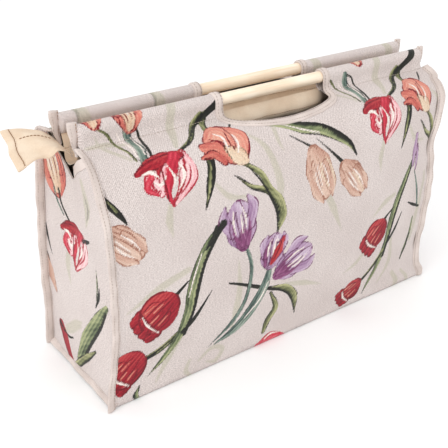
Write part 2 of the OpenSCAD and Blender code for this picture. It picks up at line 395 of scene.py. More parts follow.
def closed_tulip(p, start, end, wide, palette, rims, base=None, heart=None, spread=0.2):
    """A tulip from the foot of its cup to its tips: a full cup, petals that part by spread, and streaks."""
    at = along(start, end)
    w = wide
    cup = at((0.1, 0), (0.36, 0), (0.66, 0), (0.86, 0))
    petal(p, cup, [0.5 * w, w, 0.9 * w, 0.5 * w], palette, rim_palette=rims, fade=0.3)
    for k in (-1, 1):
        tips = at((0.4, 0.3 * k * w), (0.75, (0.14 + 0.9 * spread) * k * w), (1.0, spread * k * w))
        petal(p, tips, [0.34 * w, 0.34 * w, 0.08 * w], palette, rim_palette=rims, mid=0.5, fade=0.3,
            lean=0.3 * k)
    petal(p, at((0.08, 0), (0.48, 0.02 * w), (0.95, 0.04 * w)), [0.3 * w, 0.54 * w, 0.14 * w],
        heart or palette,
          rim_palette=rims, mid=0.66, fade=0.3)
    if base:
        petal(p, at((0.02, 0), (0.2, 0.04 * w), (0.45, 0.06 * w)), [0.4 * w, 0.4 * w, 0.05 * w], base, rim=0)
        petal(p, at((0.05, 0.14 * w), (0.3, 0.26 * w), (0.6, 0.3 * w)), [0.2 * w, 0.14 * w, 0.03 * w],
            base, rim=0)
        petal(p, at((0.05, -0.14 * w), (0.3, -0.24 * w), (0.55, -0.28 * w)), [0.2 * w, 0.1 * w, 0.03 * w],
            base, rim=0)
    light_line(p, at((0.35, -0.2 * w), (0.6, -0.22 * w), (0.85, -0.16 * w)), 1.7)
    light_line(p, at((0.4, 0.16 * w), (0.62, 0.2 * w), (0.85, 0.14 * w)), 1.5)
    light_line(p, at((0.3, 0.02 * w), (0.5, 0.04 * w), (0.7, 0.05 * w)), 1.3)
    dark_line(p, at((0.15, -0.05 * w), (0.5, -0.1 * w), (0.8, -0.08 * w)), rims, 1.5)
    dark_line(p, at((0.2, 0.1 * w), (0.5, 0.12 * w), (0.75, 0.1 * w)), rims, 1.2)
    dark_line(p, at((0.15, -0.3 * w), (0.45, -0.38 * w), (0.7, -0.32 * w)), rims, 1.3)


# ---- motifs, each drawn about its own middle (x to the right, s up the cloth)
def bell_flower(p):
    """A red and white tulip hanging open."""
    petal(p, [(20, 12), (20, -6), (4, -28)], [10, 18, 4], BLUSH, rim=0.8, rim_palette=ROSE)
    petal(p, [(2, 8), (-12, -4), (-8, -16)], [12, 20, 6], BLUSH, rim=0.8, rim_palette=ROSE)
    petal(p, [(18, 13), (0, 13), (-14, 10), (-27, 5)], [8, 12, 12, 4], RED, mid=0.5)
    petal(p, [(-14, 2), (-20, -8), (-12, -16)], [6, 7, 3], ROSE, mid=0.5)
    petal(p, [(12, 12), (4, 0), (-2, -16), (2, -30)], [11, 10, 6, 2], ROSE, mid=0.35)
    petal(p, [(20, 8), (14, -10), (2, -28)], [3, 3, 2], RED, rim=0)
    petal(p, [(-2, 10), (-8, 2), (-9, -8)], [6, 4, 1.5], RED, rim=0)
    for line in ([(24, 2), (20, -10), (10, -20)], [(10, 2), (10, -8), (6, -20)],
        [(-16, -2), (-14, -10), (-8, -14)]):
        dark_line(p, line, ROSE, 1.5)
    light_line(p, [(-22, 4), (-14, 4), (-8, -2)], 3)
    light_line(p, [(-14, -4), (-8, -8), (-2, -2)], 2.2)
    light_line(p, [(2, 6), (6, -4), (4, -12)], 1.6)
    light_line(p, [(14, 6), (16, -4), (10, -14)], 3)
    dark_line(p, [(-26, 8), (-12, 14), (6, 16)], RED, 1.4)
    dark_line(p, [(-4, 6), (-4, -8), (-2, -26)], RED, 1.8)


def bell_tulip(p):
    """The hanging tulip, on teal and olive stems that come down from above."""
    ghost(p, [(-1, -28), (-3, -44), (1, -62)], [5, 8, 1])
    ghost(p, [(20, 22), (30, 46), (37, 72), (52, 92)], [5, 9, 9, 5])
    ghost(p, [(-26, 20), (-40, 40), (-46, 58)], [3, 5, 1])
    stem(p, [(-22, 18), (-26, 36), (-33, 56), (-46, 66)], [2.4, 3, 3, 2], OLIVE)
    stem(p, [(-16, 15), (-12, 34), (-14, 52), (-14, 62)], [7, 9, 8, 6], TEAL)
    light_line(p, [(-20, 22), (-19, 38), (-24, 56)], 1.3)
    light_line(p, [(-12, 22), (-10, 36), (-11, 50)], 1.3)
    twig(p, [(-8, 15), (-5, 34), (-3, 54), (-12, 62)], [3, 3, 2.6, 2])
    stem(p, [(18, 15), (38, 26), (54, 46), (66, 56)], [3, 5, 6, 6], OLIVE, mid=0.35)
    stem(p, [(58, 26), (64, 44), (72, 56)], [4, 6, 6], OLIVE, mid=0.35)
    twig(p, [(16, 14), (34, 23), (54, 44), (74, 56), (90, 66), (100, 84)], [3, 2.6, 3, 7, 9, 6])
    bell_flower(p)


def coral_tulip(p):
    """A coral tulip opening to the upper left, with a wedge leaf under it."""
    ghost(p, [(-19, -31), (-2, -48), (21, -53)], [3, 6, 2])
    ghost(p, [(28, 6), (44, -14), (58, -51), (56, -74)], [2, 6, 9, 6])
    leaf(p, [(-19, -8), (-24, -28), (-30, -53)], [8, 7, 1], OLIVE)
    twig(p, [(-17, -8), (-20, -26), (-28, -50)], [5, 4.5, 1])
    leaf(p, [(4, -29), (21, -43), (38, -51), (50, -62)], [1, 4, 6, 4], OLIVE)
    stem(p, [(18, -22), (34, -34), (45, -52), (58, -68), (64, -86), (59, -102)], [4, 6, 7, 10, 10, 3],
        OLIVE, mid=0.62)
    twig(p, [(20, -24), (36, -44), (46, -60), (56, -80), (59, -104)], [2, 2.4, 3.4, 4, 2])
    twig(p, [(18, 16), (24, 24), (31, 34)], [1.6, 2.4, 1.6])
    petal(p, [(8, 20), (20, 4), (16, -16)], [10, 18, 10], CORAL, rim=0.9, rim_palette=RED, mid=0.7)
    petal(p, [(-12, 8), (2, 16), (8, 0)], [10, 20, 12], CORAL, mid=0.72, rim_palette=RED)
    petal(p, [(-20, 2), (-6, -4), (6, -14)], [10, 20, 10], CORAL, mid=0.42, rim_palette=RED)
    petal(p, [(-27, -7), (-14, -6), (-4, -15)], [2.5, 8, 6], CORAL, mid=0.25, rim_palette=RED)
    petal(p, [(2, -4), (12, -13), (18, -18)], [6, 16, 9], CREAM, rim=0.6, rim_palette=OLIVE, mid=0.7)
    light_line(p, [(-2, 16), (4, 8), (4, -4)], 2)
    light_line(p, [(16, 8), (16, -2), (12, -10)], 1.6)
    dark_line(p, [(-10, 10), (-2, 4), (2, -8)], RED, 1.7)
    dark_line(p, [(10, 14), (8, 2), (10, -8)], RED, 1.3)


def closed_pair(p):
    """Two closed peach tulips hanging from thin stems, under a long leaf."""
    ghost(p, [(2, -30), (14, -50), (31, -82)], [8, 9, 1])
    ghost(p, [(-60, 52), (-62, 40), (-58, 30)], [5, 4, 1])
    leaf(p, [(-66, 58), (-52, 56), (-30, 46), (-8, 40), (14, 28), (28, 18), (38, 6)],
        [4, 10, 12, 11, 8, 5, 1.4], LEAF, 0.5)
    twig(p, [(-58, 61), (-48, 60), (-28, 50), (-6, 43), (15, 30), (29, 19), (38, 5)],
        [2, 4, 4.5, 4, 6, 5, 1.5])
    light_line(p, [(-50, 54), (-30, 44), (-10, 37)], 1.3)
    twig(p, [(-47, 41), (-34, 33), (-19, 24)], [1.6, 2, 3])
    twig(p, [(-16, 33), (1, 18), (21, 0)], [1.6, 2.4, 4.5])
    closed_tulip(p, (-24, 26), (4, -36), 33, PEACH, UMBER, heart=PEACH)
    closed_tulip(p, (19, 1), (58, -42), 29, PEACH, UMBER, heart=PEACH)
    for line in ([(-12, 10), (-6, -8), (6, -26)], [(-4, 12), (6, -4), (12, -22)],
        [(36, -14), (46, -24), (58, -42)]):
        p.stroke(line, [1.4, 2.4, 1.4], CREAM, layer="line", mid=0.95, grain=0.1)


def lilac_tulip(p):
    """An upright lilac tulip, dark at its base, on a thin curved stem."""
    stem(p, [(6, -26), (15, -50), (16, -73), (10, -97), (-4, -117), (-30, -138)], [4, 4.5, 4.5, 5, 6, 1.5],
        TEAL)
    closed_tulip(p, (4, -26), (-9, 27), 35, LILAC, PLUM, PLUM, spread=0.4)


def lilac_pair(p):
    """Two lilac tulips, one with a red heart, on a thick teal stem crossed by dark twigs."""
    ghost(p, [(-52, 20), (-48, -14), (-50, -38), (-54, -62)], [2, 7, 9, 4])
    ghost(p, [(13, -31), (39, -38), (68, -50)], [5, 7, 1])
    leaf(p, [(-6, -35), (4, -58), (-4, -74), (-8, -88)], [3, 8, 9, 5], OLIVE)
    stem(p, [(-11, 0), (-16, -24), (-32, -50), (-50, -66), (-74, -76)], [6, 12, 14, 11, 2], TEAL, mid=0.55)
    dark_line(p, [(-18, -26), (-34, -50), (-58, -70)], TEAL, 2.2)
    light_line(p, [(-11, -18), (-20, -38), (-38, -56)], 1.6)
    twig(p, [(-62, -3), (-44, -11), (-24, -21)], [2.4, 3.6, 5])
    leaf(p, [(-9, -28), (13, -35), (28, -51), (35, -78)], [3, 9, 9, 1.2], OLIVE)
    twig(p, [(-9, -28), (11, -38), (24, -52), (35, -79)], [5, 3.4, 3.6, 1.4])
    closed_tulip(p, (-11, 0), (-8, 38), 30, LILAC, PLUM, spread=0.34)
    petal(p, [(-10, 4), (-3, 17), (3, 32)], [6, 13, 4], RED, rim_palette=PLUM, mid=0.6)
    dark_line(p, [(-8, 8), (-2, 18), (1, 28)], RED, 1.6)
    p.stroke([(-18, 2), (-18, 18), (-13, 34)], [4, 7, 2], PLUM, fade=0.3)
    light_line(p, [(-10, 14), (-8, 24), (-6, 34)], 2)
    closed_tulip(p, (0, -14), (42, 8), 36, LILAC, PLUM, PLUM, spread=0.42)


def red_tulip(p, start, end, wide):
    """A deep red tulip: a full cup, and past a white gap across it the scalloped tips of its back petals."""
    at = along(start, end)
    w = wide
    for v in (-0.34, 0.34, -0.12, 0.12):
        petal(p, at((0.7, v * w), (0.9 - 0.3 * v * v, 0.92 * v * w)), [0.28 * w, 0.26 * w], RED, mid=0.42,
            rim=0.9)
    petal(p, at((0.28, 0), (0.38, 0)), [0.84 * w, w], RED, mid=0.5, rim=1.1, lean=0.25)
    for v in (-0.34, 0.34, -0.12, 0.12):
        p.stroke(at((0.76, v * w), (0.84, 0.95 * v * w)), [0.2 * w, 0.2 * w], RED, mid=0.4)
    for v, u in ((-0.34, 0.2), (-0.16, 0.04), (0.04, 0.08), (0.2, 0.06), (0.36, 0.22)):
        dark_line(p, at((u, 0.6 * v * w), (0.36, v * w), (0.62, 0.96 * v * w)), RED, 1.3)
    for v, u in ((-0.24, 0.3), (-0.04, 0.42), (0.12, 0.2), (0.28, 0.34)):
        p.stroke(at((u, 0.9 * v * w), (u + 0.26, v * w)), [1.3, 2.3], CORAL, layer="line", mid=0.45)
    dark_line(p, at((0.62, -0.46 * w), (0.69, 0), (0.64, 0.46 * w)), RED, 3.4)
    light_line(p, at((0.66, -0.42 * w), (0.73, -0.02 * w), (0.69, 0.26 * w)), 2.0)


def red_branch(p):
    """A thick stem with side twigs, and a stalk to a red tulip on its left."""
    ghost(p, [(-76, 14), (-40, 30), (-7, 40)], [2, 9, 7])
    ghost(p, [(-14, -36), (-26, -58), (-38, -84)], [6, 9, 2])
    twig(p, [(-24, 14), (-16, 20), (-7, 27)], [5, 4, 2])
    stem(p, [(-63, -50), (-40, -44), (-15, -30)], [5, 7, 7], OLIVE)
    twig(p, [(-64, -50), (-50, -48), (-30, -38), (-18, -31)], [6, 4, 2.4, 2])
    stem(p, [(29, 79), (14, 60), (3, 34), (-3, 10), (-6, -8), (-16, -34), (-32, -56), (-48, -72)],
        [7, 11, 13, 13, 11, 10, 7, 1], mid=0.6)
    twig(p, [(31, 80), (24, 68), (12, 42), (5, 14), (0, -10), (-10, -34)], [9, 5, 4.4, 5, 4, 5])
    twig(p, [(24, 78), (20, 66), (12, 56)], [6, 7, 2])
    twig(p, [(-12, -31), (3, -18), (22, 6)], [5, 5, 1.4])
    light_line(p, [(8, 54), (0, 30), (-6, 8)], 1.3)


def edge_branch(p):
    """The same branch as it shows again near the other end of the cloth."""
    ghost(p, [(-38, 24), (-20, 38), (-4, 44)], [2, 8, 5])
    ghost(p, [(-76, -38), (-56, -30), (-40, -16)], [1, 6, 4])
    ghost(p, [(4, -12), (10, -50), (-6, -80)], [4, 8, 2])
    stem(p, [(29, 85), (14, 62), (3, 35), (-2, 9), (-4, -18), (-11, -40), (-20, -62), (-33, -84)],
        [4, 8, 10, 10, 9, 9, 7, 2], mid=0.6)
    twig(p, [(31, 86), (20, 66), (10, 40), (4, 14), (0, -12), (-6, -38)], [5, 3.6, 3.6, 4.4, 4, 5])
    twig(p, [(0, -20), (10, -5), (18, 15)], [4, 4.5, 1.6])
    twig(p, [(-15, 15), (-10, 20), (-2, 26)], [5, 3, 1.5])
    stem(p, [(-38, -62), (-23, -48), (-8, -30)], [5, 5, 5], OLIVE)
    twig(p, [(-38, -62), (-26, -52), (-10, -34)], [5, 3, 2.4])


def crown_tulip(p, wide=30):
    """A coral tulip seen at the top edge, opening upwards."""
    closed_tulip(p, (0, -15), (2, 34), wide, CORAL, RED, heart=CREAM)


def place(p, motif, x, s, *more):
    p.shift = np.array([x, s], float)
    motif(p, *more)
    p.shift = np.zeros(2)


REPEAT = 268  # the cloth's pattern comes round again after this much


def paint_front(p):
    """The side that faces the viewer."""
    for x in (-158, -158 + REPEAT):
        place(p, bell_tulip, x, 235)
        place(p, coral_tulip, x + 65, 246)
    ghost(p, [(-214, 284), (-192, 282), (-166, 272)], [3, 6, 2])
    place(p, crown_tulip, -168, 306)
    place(p, crown_tulip, -203, 315, 26)
    place(p, crown_tulip, 118, 318, 26)
    place(p, lilac_pair, -28, 102)
    place(p, closed_pair, 28, 197)
    place(p, lilac_tulip, -79, 164)
    place(p, red_branch, -133, 92)
    place(p, edge_branch, 149, 92)
    red_tulip(p, (-158, 105), (-198, 77), 46)
    red_tulip(p, (-195, 49), (-224, 20), 42)
    red_tulip(p, (133, 103), (103, 70), 37)
    red_tulip(p, (111, 29), (72, 10), 27)
    twig(p, [(-220, 230), (-213, 218), (-208, 210), (-202, 199)], [5, 7, 6, 1.5])
    p.stroke([(-216, 225), (-210, 214)], [1.5, 2.6], OLIVE, layer="line")
    closed_tulip(p, (-226, 198), (-190, 162), 32, PEACH, UMBER)
    petal(p, [(176, 166), (178, 184), (176, 202)], [4, 9, 5], LILAC, rim_palette=PLUM)
    petal(p, [(182, 160), (186, 176), (184, 190)], [3, 6, 2], LILAC, rim_palette=PLUM)
    stem(p, [(181, 157), (194, 128), (201, 106)], [2, 4, 3], TEAL)
    twig(p, [(177, 117), (190, 111), (206, 105)], [2, 4, 3])
    stem(p, [(196, 92), (195, 66), (185, 36)], [3, 5, 3], LEAF)
    twig(p, [(196, 70), (193, 52), (184, 36)], [2, 3.4, 2])
    ghost(p, [(208, 150), (204, 100), (200, 60)], [4, 9, 6])
    ghost(p, [(170, 20), (176, 8), (172, -8)], [6, 9, 6])
    ghost(p, [(188, 18), (196, 6), (194, -8)], [4, 7, 4])
    ghost(p, [(-120, 12), (-104, 22), (-90, 14), (-98, 2), (-110, 6)], [3, 6, 6, 5, 2])
    ghost(p, [(-132, 18), (-136, 6), (-128, -6)], [4, 6, 4])
    petal(p, [(-42, -4), (-24, 2), (-6, -4)], [9, 13, 6], ROSE, mid=0.6)
    light_line(p, [(-34, 2), (-24, 6), (-12, 3)], 2)
    leaf(p, [(-190, 12), (-194, 2), (-190, -8)], [1, 6, 4], LEAF)


def paint_back(p):
    """The other side: the same cloth, cut at another place."""
    for x in (-226, -226 + REPEAT):
        place(p, red_branch, x + 30, 84)
        place(p, lilac_pair, x + 118, 96)
        place(p, closed_pair, x + 30, 226)
        place(p, lilac_tulip, x + 72, 150)
        place(p, bell_tulip, x + 146, 228)
        place(p, coral_tulip, x + 208, 232)
        red_tulip(p, (x + 7, 100), (x - 33, 70), 46)
        red_tulip(p, (x - 28, 44), (x - 58, 16), 42)
    for x in (-204, -124, 78, 190):
        ghost(p, [(x, 290), (x + 10, 320), (x + 6, 350)], [6, 12, 8])
    for x in (-204, -122):
        p.stroke([(x - 4, 292), (x + 3, 312), (x + 2, 340)], [1.5, 4, 1.5], OLIVE, layer="ghost", mid=0.4)


def paint_left_gusset(p):
    """x runs from the front seam (negative) to the back seam; s is the height."""
    ghost(p, [(22, 140), (26, 118), (20, 96)], [6, 9, 1])
    ghost(p, [(-22, 226), (-26, 204), (-19, 178)], [8, 14, 2])
    p.stroke([(-24, 214), (-28, 200), (-21, 184)], [2, 5, 1.5], OLIVE, layer="ghost", mid=0.35)
    ghost(p, [(34, 40), (10, 56), (-4, 66)], [2, 10, 2])
    closed_tulip(p, (44, 188), (68, 238), 46, CORAL, RED, heart=CREAM)
    twig(p, [(44, 190), (38, 178), (26, 167), (20, 160)], [4, 3, 3, 2.4])
    stem(p, [(54, 190), (46, 178), (34, 168)], [3, 3, 2], TEAL)
    p.shift = np.array([12.0, 148.0])
    p.mirror = np.array([-1.0, 1.0])
    bell_flower(p)
    p.mirror = np.ones(2)
    twig(p, [(-34, 16), (-26, 12), (-18, 9)], [3, 5, 3])
    p.shift = np.zeros(2)
    twig(p, [(76, 150), (68, 132), (58, 114)], [6, 4.5, 1.4])
    twig(p, [(76, 116), (68, 108), (62, 98)], [3.4, 3.4, 1])
    petal(p, [(78, 110), (66, 92), (54, 72)], [8, 17, 3], PEACH, mid=0.4, rim_palette=UMBER)
    twig(p, [(-40, 124), (-38, 112), (-32, 98)], [1.4, 5, 1.4])
    stem(p, [(-34, 140), (-36, 126), (-34, 108)], [1, 3, 1], LEAF)
    stem(p, [(-52, 108), (-36, 86), (-12, 50), (4, 16)], [6, 14, 17, 8], LEAF, mid=0.6)
    twig(p, [(-50, 100), (-38, 76), (-18, 44), (-4, 16)], [3, 4.4, 4.4, 3])
    ghost(p, [(46, 28), (20, 44), (-2, 60)], [3, 9, 3])
    petal(p, [(44, 36), (34, 24), (20, 4)], [12, 15, 8], RED, mid=0.4)
    twig(p, [(48, 38), (40, 34), (26, 32), (16, 36)], [5, 3, 3, 2])
    leaf(p, [(-30, 46), (-12, 28), (2, 14), (14, 4)], [2, 8, 9, 4], OLIVE)


def paint_right_gusset(p):
    place(p, lilac_tulip, -24, 190)
    place(p, coral_tulip, 34, 128)
    red_tulip(p, (-4, 70), (-44, 36), 44)


# ---------------------------------------------------------------- materials
class Finish:
    """A principled material and short calls to build its nodes."""

    def __init__(self, name, **shader):
        self.material = bpy.data.materials.new(name)
        self.material.use_nodes = True
        self.tree = self.material.node_tree
        self.shader = self.tree.nodes["Principled BSDF"]
        for key, value in shader.items():
            self.set(self.shader.inputs[key.replace("_", " ").title().replace("Ior", "IOR")], value)

    def set(self, socket, value):
        if isinstance(value, bpy.types.NodeSocket):
            self.tree.links.new(value, socket)
        elif hasattr(value, "__len__") and len(value) == 3 and socket.type == "RGBA":
            socket.default_value = (*value, 1)
        else:
            socket.default_value = value

    def node(self, kind, feeds=(), **settings):
        node = self.tree.nodes.new("ShaderNode" + kind)
        for key, value in settings.items():
            setattr(node, key, value)
        for key, value in dict(feeds).items():
            self.set(node.inputs[key], value)
        return node

    def value(self, name):
        return self.node("Attribute", attribute_name=name).outputs["Fac"]

    def colour(self, name):
        return self.node("Attribute", attribute_name=name).outputs["Color"]

    def math(self, how, a, b=0.0):
        return self.node("Math", {0: a, 1: b}, operation=how).outputs[0]

    def spread(self, value, low, high, to_low=0.0, to_high=1.0, how="SMOOTHSTEP"):
        feeds = {"Value": value, "From Min": low, "From Max": high, "To Min": to_low, "To Max": to_high}
        return self.node("MapRange", feeds, interpolation_type=how).outputs[0]

    def mix(self, factor, a, b, how="MIX"):
        node = self.node("Mix", data_type="RGBA", blend_type=how)
        for k, v in ((0, factor), (6, a), (7, b)):
            self.set(node.inputs[k], v)
        return node.outputs[2]

    def place(self, scale, turn=0.0, source="uv"):
        """Flat places on the cloth (or on the object), turned and scaled."""
        if source == "uv":
            at = self.node("UVMap", uv_map=CLOTH).outputs[0]
        else:
            at = self.node("TexCoord").outputs["Object"]
        return self.node("Mapping", {"Vector": at, "Scale": scale, "Rotation": (0, 0, turn)}).outputs[0]

    def noise(self, at, scale, detail=2.0, rough=0.5):
        feeds = {"Vector": at, "Scale": scale, "Detail": detail, "Roughness": rough}
        return self.node("TexNoise", feeds).outputs["Fac"]

    def ribs(self, at, pitch, wobble=0.0):
        """Parallel ribs, pitch apart in metres."""
        feeds = {"Vector": at, "Scale": 0.314159 / pitch, "Distortion": wobble, "Detail": 1.0,
            "Detail Scale": 3.0}
        return self.node("TexWave", feeds, wave_type="BANDS", bands_direction="X").outputs["Fac"]

    def paint(self, colour=None, bump=None, strength=0.3, depth=0.0004, rough=None):
        if colour is not None:
            self.set(self.shader.inputs["Base Color"], colour)
        if bump is not None:
            feeds = {"Height": bump, "Strength": strength, "Distance": depth}
            self.set(self.shader.inputs["Normal"], self.node("Bump", feeds).outputs[0])
        if rough is not None:
            self.set(self.shader.inputs["Roughness"], rough)
        return self.material


def weave(f, pitch=0.0011, source="uv"):
    """Twill ribs crossed by weft threads, and slubs: a height from 0 to 1."""
    ribs = f.ribs(f.place((1, 1, 1), math.radians(38), source), pitch * 1.5, 3.0)
    weft = f.ribs(f.place((1, 1, 1), math.radians(90), source), pitch * 0.8, 0.6)
    slub = f.noise(f.place((1, 1.6, 1), 0.6, source), 620, 3)
    return f.math("ADD", f.math("MULTIPLY", ribs, 0.3),
        f.math("ADD", f.math("MULTIPLY", weft, 0.15), f.math("MULTIPLY", slub, 0.8)))


def tapestry():
    """The pinkish off-white cloth with its woven tulips."""
    f = Finish("tapestry", Roughness=0.88, Sheen_Weight=0.12, Sheen_Roughness=0.5, Specular_Ior_Level=0.25)
    flat = f.place((1, 1, 1))
    height = weave(f)
    broad = f.noise(flat, 14, 3)
    ground = f.mix(f.spread(broad, 0.35, 0.65), tone(218, 207, 203), tone(227, 217, 213))
    # painted shade: the ground is darkened where the weave lies low, in the hollows between its threads
    ground = f.mix(f.spread(height, 0.3, 0.85), f.mix(0.8, ground, tone(180, 165, 160)), ground)
    ragged = f.math("MULTIPLY", f.math("SUBTRACT", f.noise(flat, 700, 2), 0.5), 1.6)
    colour = ground
    for layer, soft, strength in (("ghost", 1.2, 0.55), ("fill", 0.35, 1.0), ("line", 0.4, 1.0)):
        depth = f.math("ADD", f.value(layer), ragged)
        fade = f.math("MULTIPLY", f.spread(depth, -soft, soft), strength)
        colour = f.mix(fade, colour, f.colour(layer + "_tone"))
    threads = f.spread(f.noise(f.place((1, 2.4, 1)), 560, 2), 0.32, 0.68, 0.78, 1.1)
    colour = f.mix(1.0, colour, f.node("CombineColor", {0: threads, 1: threads, 2: threads}).outputs[0],
        "MULTIPLY")
    return f.paint(colour, height, 0.7, 0.0006)


def plain_cloth(name, dark, light, pitch=0.0009, strength=0.5, **shader):
    f = Finish(name, Roughness=0.9, Sheen_Weight=0.1, Specular_Ior_Level=0.2, **shader)
    height = weave(f, pitch)
    broad = f.noise(f.place((1, 1, 1)), 40, 3)
    colour = f.mix(f.spread(broad, 0.3, 0.7), dark, light)
    # painted shade: the colour is darkened where the weave lies low, in the hollows between its threads
    colour = f.mix(f.spread(height, 0.2, 0.9, 0.35, 0.0), colour, [c * 0.6 for c in dark])
    return f.paint(colour, height, strength, 0.0004)


def thread(name, colour):
    f = Finish(name, Roughness=0.6, Sheen_Weight=0.2)
    twist = f.ribs(f.place((1, 1, 1), 0.8, "object"), 0.0005)
    # painted shade: the grooves of the twist are darker copies of the thread's colour
    return f.paint(f.mix(twist, [c * 0.7 for c in colour], colour), twist, 0.5, 0.0001)


def birch():
    """Pale turned wood: long grain, faint pores and a soft polish."""
    f = Finish("birch", Specular_Ior_Level=0.4)
    long = f.place((0.05, 1, 1), 0, "object")
    grain = f.noise(long, 420, 4, 0.6)
    band = f.noise(f.place((0.35, 1, 1), 0, "object"), 60, 2)
    colour = f.mix(f.spread(band, 0.3, 0.7), tone(240, 218, 192), tone(249, 236, 216))
    colour = f.mix(f.spread(grain, 0.45, 0.75, 0.0, 0.4), colour, tone(214, 180, 142))
    return f.paint(colour, grain, 0.12, 0.0003, f.spread(grain, 0.3, 0.8, 0.38, 0.6))


def metal():
    f = Finish("zip_metal", Metallic=0.9)
    wear = f.noise(f.place((1, 1, 1), 0, "object"), 300, 4)
    colour = f.mix(f.spread(wear, 0.4, 0.7), tone(176, 172, 164), tone(214, 210, 202))
    return f.paint(colour, wear, 0.1, 0.0002, f.spread(wear, 0.3, 0.7, 0.22, 0.42))


def board():
    f = Finish("stiffener", Roughness=0.8)
    fibre = f.noise(f.place((1, 3, 1), 0, "object"), 240, 4)
    return f.paint(f.mix(fibre, tone(150, 126, 98), tone(178, 154, 122)), fibre, 0.3, 0.0003)


TAPESTRY = tapestry()
BINDING = plain_cloth("twill_tape", tone(204, 190, 183), tone(224, 211, 204), 0.0008)
CREAM_CLOTH = plain_cloth("cream_cotton", tone(224, 200, 174), tone(236, 217, 194), 0.0007, 0.4)
LINING = plain_cloth("lining", tone(136, 126, 118), tone(158, 147, 138), 0.0006, 0.4)
ZIP_TAPE = plain_cloth("zip_tape", tone(214, 196, 176), tone(224, 208, 190), 0.0006, 0.5)
COIL = thread("zip_coil", tone(226, 214, 198))
PALE_THREAD = thread("pale_thread", tone(178, 160, 148))
BROWN_THREAD = thread("brown_thread", tone(150, 104, 60))
BIRCH = birch()
METAL = metal()
BOARD = board()


# ---------------------------------------------------------------- strips, tapes and stitches
def run_of(points):
    """The length along a line of points."""
    return np.concatenate([[0], np.cumsum(np.linalg.norm(np.diff(points, axis=0), axis=1))])


def unit(v):
    return v / (np.linalg.norm(v, axis=-1, keepdims=True) + 1e-12)


def tube_piece(name, rings, run, across):
    """A closed strip from rings of points, each ring one turn round it, capped at both ends."""
    count, turn = rings.shape[:2]
    faces = quads(count, turn, around=True).tolist()
    faces.append(list(range(turn))[::-1])
    faces.append([(count - 1) * turn + k for k in range(turn)])
    uv = np.stack(np.broadcast_arrays(run[:, None], across[None]), -1)
    return mesh_piece(name, rings, faces, uv)


ACROSS = np.array([0.0, 0.09, 0.19, 0.3, 0.52, 0.72, 0.8, 0.9, 1.0])
HIGH = np.array([0.35, 0.85, 0.55, 0.95, 1.0, 0.95, 0.8, 0.7, 0.0])


def tape_rings(run, width, thick, bead=0.0, grow=1.0):
    """(across, lift) of a folded tape at each length in run, dented where its stitches pull it in; grow
    is its share of the full width at each length."""
    across = np.concatenate([ACROSS, ACROSS[-2::-1]]) * width
    high = np.concatenate([HIGH, -HIGH[-2::-1]]) * thick / 2
    high[0], high[-1] = high[0] + bead, high[-1] - bead
    pull = 1 - 0.22 * np.cos(run * 2 * math.pi / 3.2)
    groove = np.isin(np.arange(len(across)), (2, len(across) - 3))
    puff = 1 + 0.1 * np.sin(run / 6.1) + 0.08 * np.sin(run / 2.3 + 1)
    lift = high[None] * np.where(groove[None], pull[:, None], puff[:, None])
    wander = (1 + 0.03 * np.sin(run / 9.0) + 0.02 * np.sin(run / 3.7)) * grow
    return across[None] * wander[:, None], lift


def fin(name, points, outs, width=tape, thick=tape_t, bead=0.0, sway=0.05, grow=1.0):
    """A folded tape that stands out from a seam: points along the seam, outs the way it stands."""
    run = run_of(points)
    along = unit(np.gradient(points, axis=0))
    outs = unit(outs - (outs * along).sum(1, keepdims=True) * along)
    lifts = np.cross(along, outs)
    turn = sway * np.sin(run / 23) + 0.4 * sway * np.sin(run / 7.3)
    outs, lifts = (
        outs * np.cos(turn)[:, None] + lifts * np.sin(turn)[:, None],
        lifts * np.cos(turn)[:, None] - outs * np.sin(turn)[:, None],
    )
    across, lift = tape_rings(run, width, thick, bead, grow)
    rings = points[:, None] + outs[:, None] * across[..., None] + lifts[:, None] * lift[..., None]
    piece = tube_piece(name, rings, run, across[0])
    rows = {"points": points, "outs": outs, "lifts": lifts, "thick": thick}
    return piece, rows


def stitches(name, points, lifts, finish, body=None, bend=None, pitch=3.2, length=2.4, radius=0.3):
    """A row of sewing stitches along points, each a short thread that dips into the cloth at its ends."""
    run = run_of(points)
    starts = np.arange(pitch / 2, run[-1] - pitch / 2, pitch)
    u = np.array([-0.5, -0.36, 0.0, 0.36, 0.5]) * length
    size = np.array([0.25, 0.9, 1.0, 0.9, 0.25]) * radius
    sink = np.array([-0.9, 0.3, 0.7, 0.3, -0.9]) * radius
    turn = np.arange(6) * math.pi / 3
    verts, faces = [], []
    for i, s in enumerate(starts):
        mid = np.array([np.interp(s + u, run, points[:, k]) for k in range(3)]).T
        up = unit(np.array([np.interp(s, run, lifts[:, k]) for k in range(3)]))
        along = unit(mid[-1] - mid[0])
        over = np.cross(along, up)
        slant = 0.12 * math.sin(i * 2.4)
        mid = mid + up * sink[:, None] + over * (u * slant)[:, None]
        ring = mid[:, None] + size[:, None, None] * (
            over * np.cos(turn)[None, :, None] + up * np.sin(turn)[None, :, None]
        )
        base = i * 30
        verts.append(ring.reshape(-1, 3))
        faces += (quads(5, 6, around=True) + base).tolist()
        faces += [[base + k for k in range(6)][::-1], [base + 24 + k for k in range(6)]]
    piece = mesh_piece(name, np.vstack(verts), faces)
    return finish_piece(piece, finish, body, bend=bend)


def fin_stitches(name, rows, body, finish=None, at=(1.7,), both=True):
    """Stitches on both faces of a fin, at distances across it."""
    for i, a in enumerate(at):
        for k, face in enumerate((1, -1) if both else (1,)):
            line = rows["points"] + rows["outs"] * a + rows["lifts"] * face * rows["thick"] * 0.36
            stitches(f"{name}_{i}{'ab'[k]}", line, rows["lifts"] * face, finish or PALE_THREAD,
                body)


# ---------------------------------------------------------------- the two printed sides
DEPTH_S = np.linspace(s_foot - 70, s_foot, 400)
s_reach = float(np.interp(-notch_reach, -side.at(DEPTH_S + s_fold)[:, 0], DEPTH_S))
notch_depth = s_foot - s_reach
squeeze_from = 120.0


